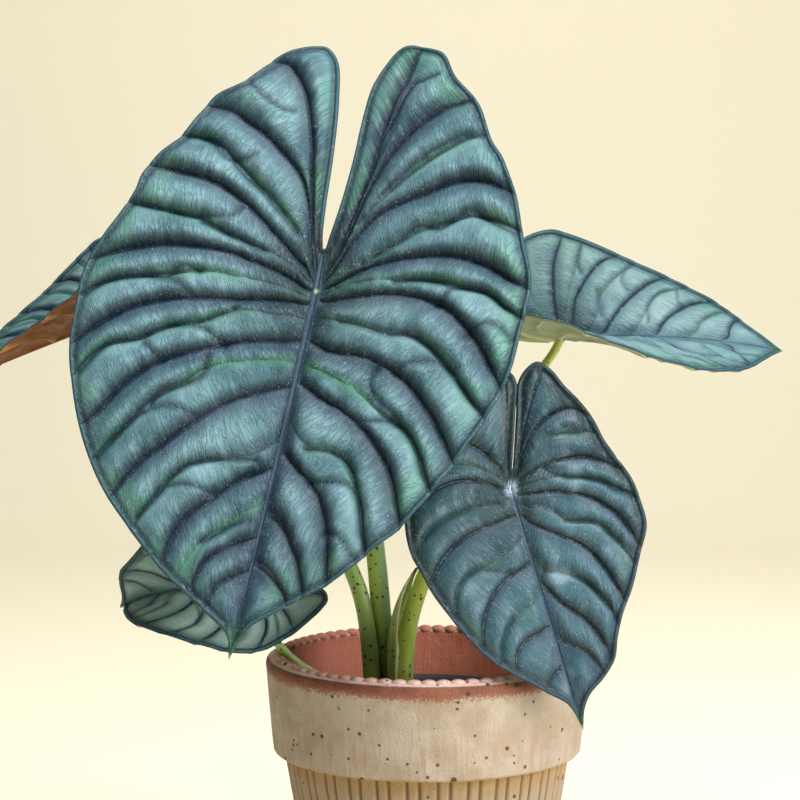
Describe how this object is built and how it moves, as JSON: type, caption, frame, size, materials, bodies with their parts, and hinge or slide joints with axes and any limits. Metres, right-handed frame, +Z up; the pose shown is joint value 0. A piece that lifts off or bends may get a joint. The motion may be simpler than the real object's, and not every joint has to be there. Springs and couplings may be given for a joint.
{
  "type": "potted silver nebula alocasia",
  "caption": "Potted aroid with large silvery quilted arrow-shaped leaves on spotted stalks, in a fluted terracotta pot with a beaded rim.",
  "frame": {"origin": "middle of the terracotta pot's underside, on the surface it stands on", "axes": "+Z up, the large front leaf faces -Y, +X to the viewer's right"},
  "size_m": [0.3708, 0.1897, 0.3895],
  "materials": {
    "terracotta": "fired terracotta with a thin cream glaze wash worn to brown clay at the rim and in the grooves, matte",
    "pot_plastic": "thin moulded dark blue-black plastic, satin",
    "potting_mix": "dark crumbly bark and peat, rough",
    "stalk": "smooth green leaf stalk with a pale bloom and near-black spots, semi-matte",
    "front_blade": "thick quilted leaf with a dull silvery sheen, dark sunken veins and a dark rim, semi-matte",
    "right_blade": "thick quilted leaf with a dull silvery sheen, dark sunken veins and a dark rim, semi-matte",
    "far_blade": "thick quilted leaf with a dull silvery sheen, dark sunken veins and a dark rim, semi-matte",
    "left_blade": "thick quilted leaf with a dull silvery sheen, dark sunken veins and a dark rim, semi-matte",
    "low_blade": "thick quilted leaf with a dull silvery sheen, dark sunken veins and a dark rim, semi-matte"
  },
  "bodies": {
    "root": {"terracotta_pot": "terracotta", "growers_pot": "pot_plastic", "potting_mix": "potting_mix", "front_leaf_blade": "front_blade", "front_leaf_stalk": "stalk", "right_leaf_blade": "right_blade", "right_leaf_stalk": "stalk", "far_leaf_blade": "far_blade", "far_leaf_stalk": "stalk", "left_leaf_blade": "left_blade", "left_leaf_stalk": "stalk", "low_leaf_blade": "low_blade", "low_leaf_stalk": "stalk"}
  },
  "joints": []
}
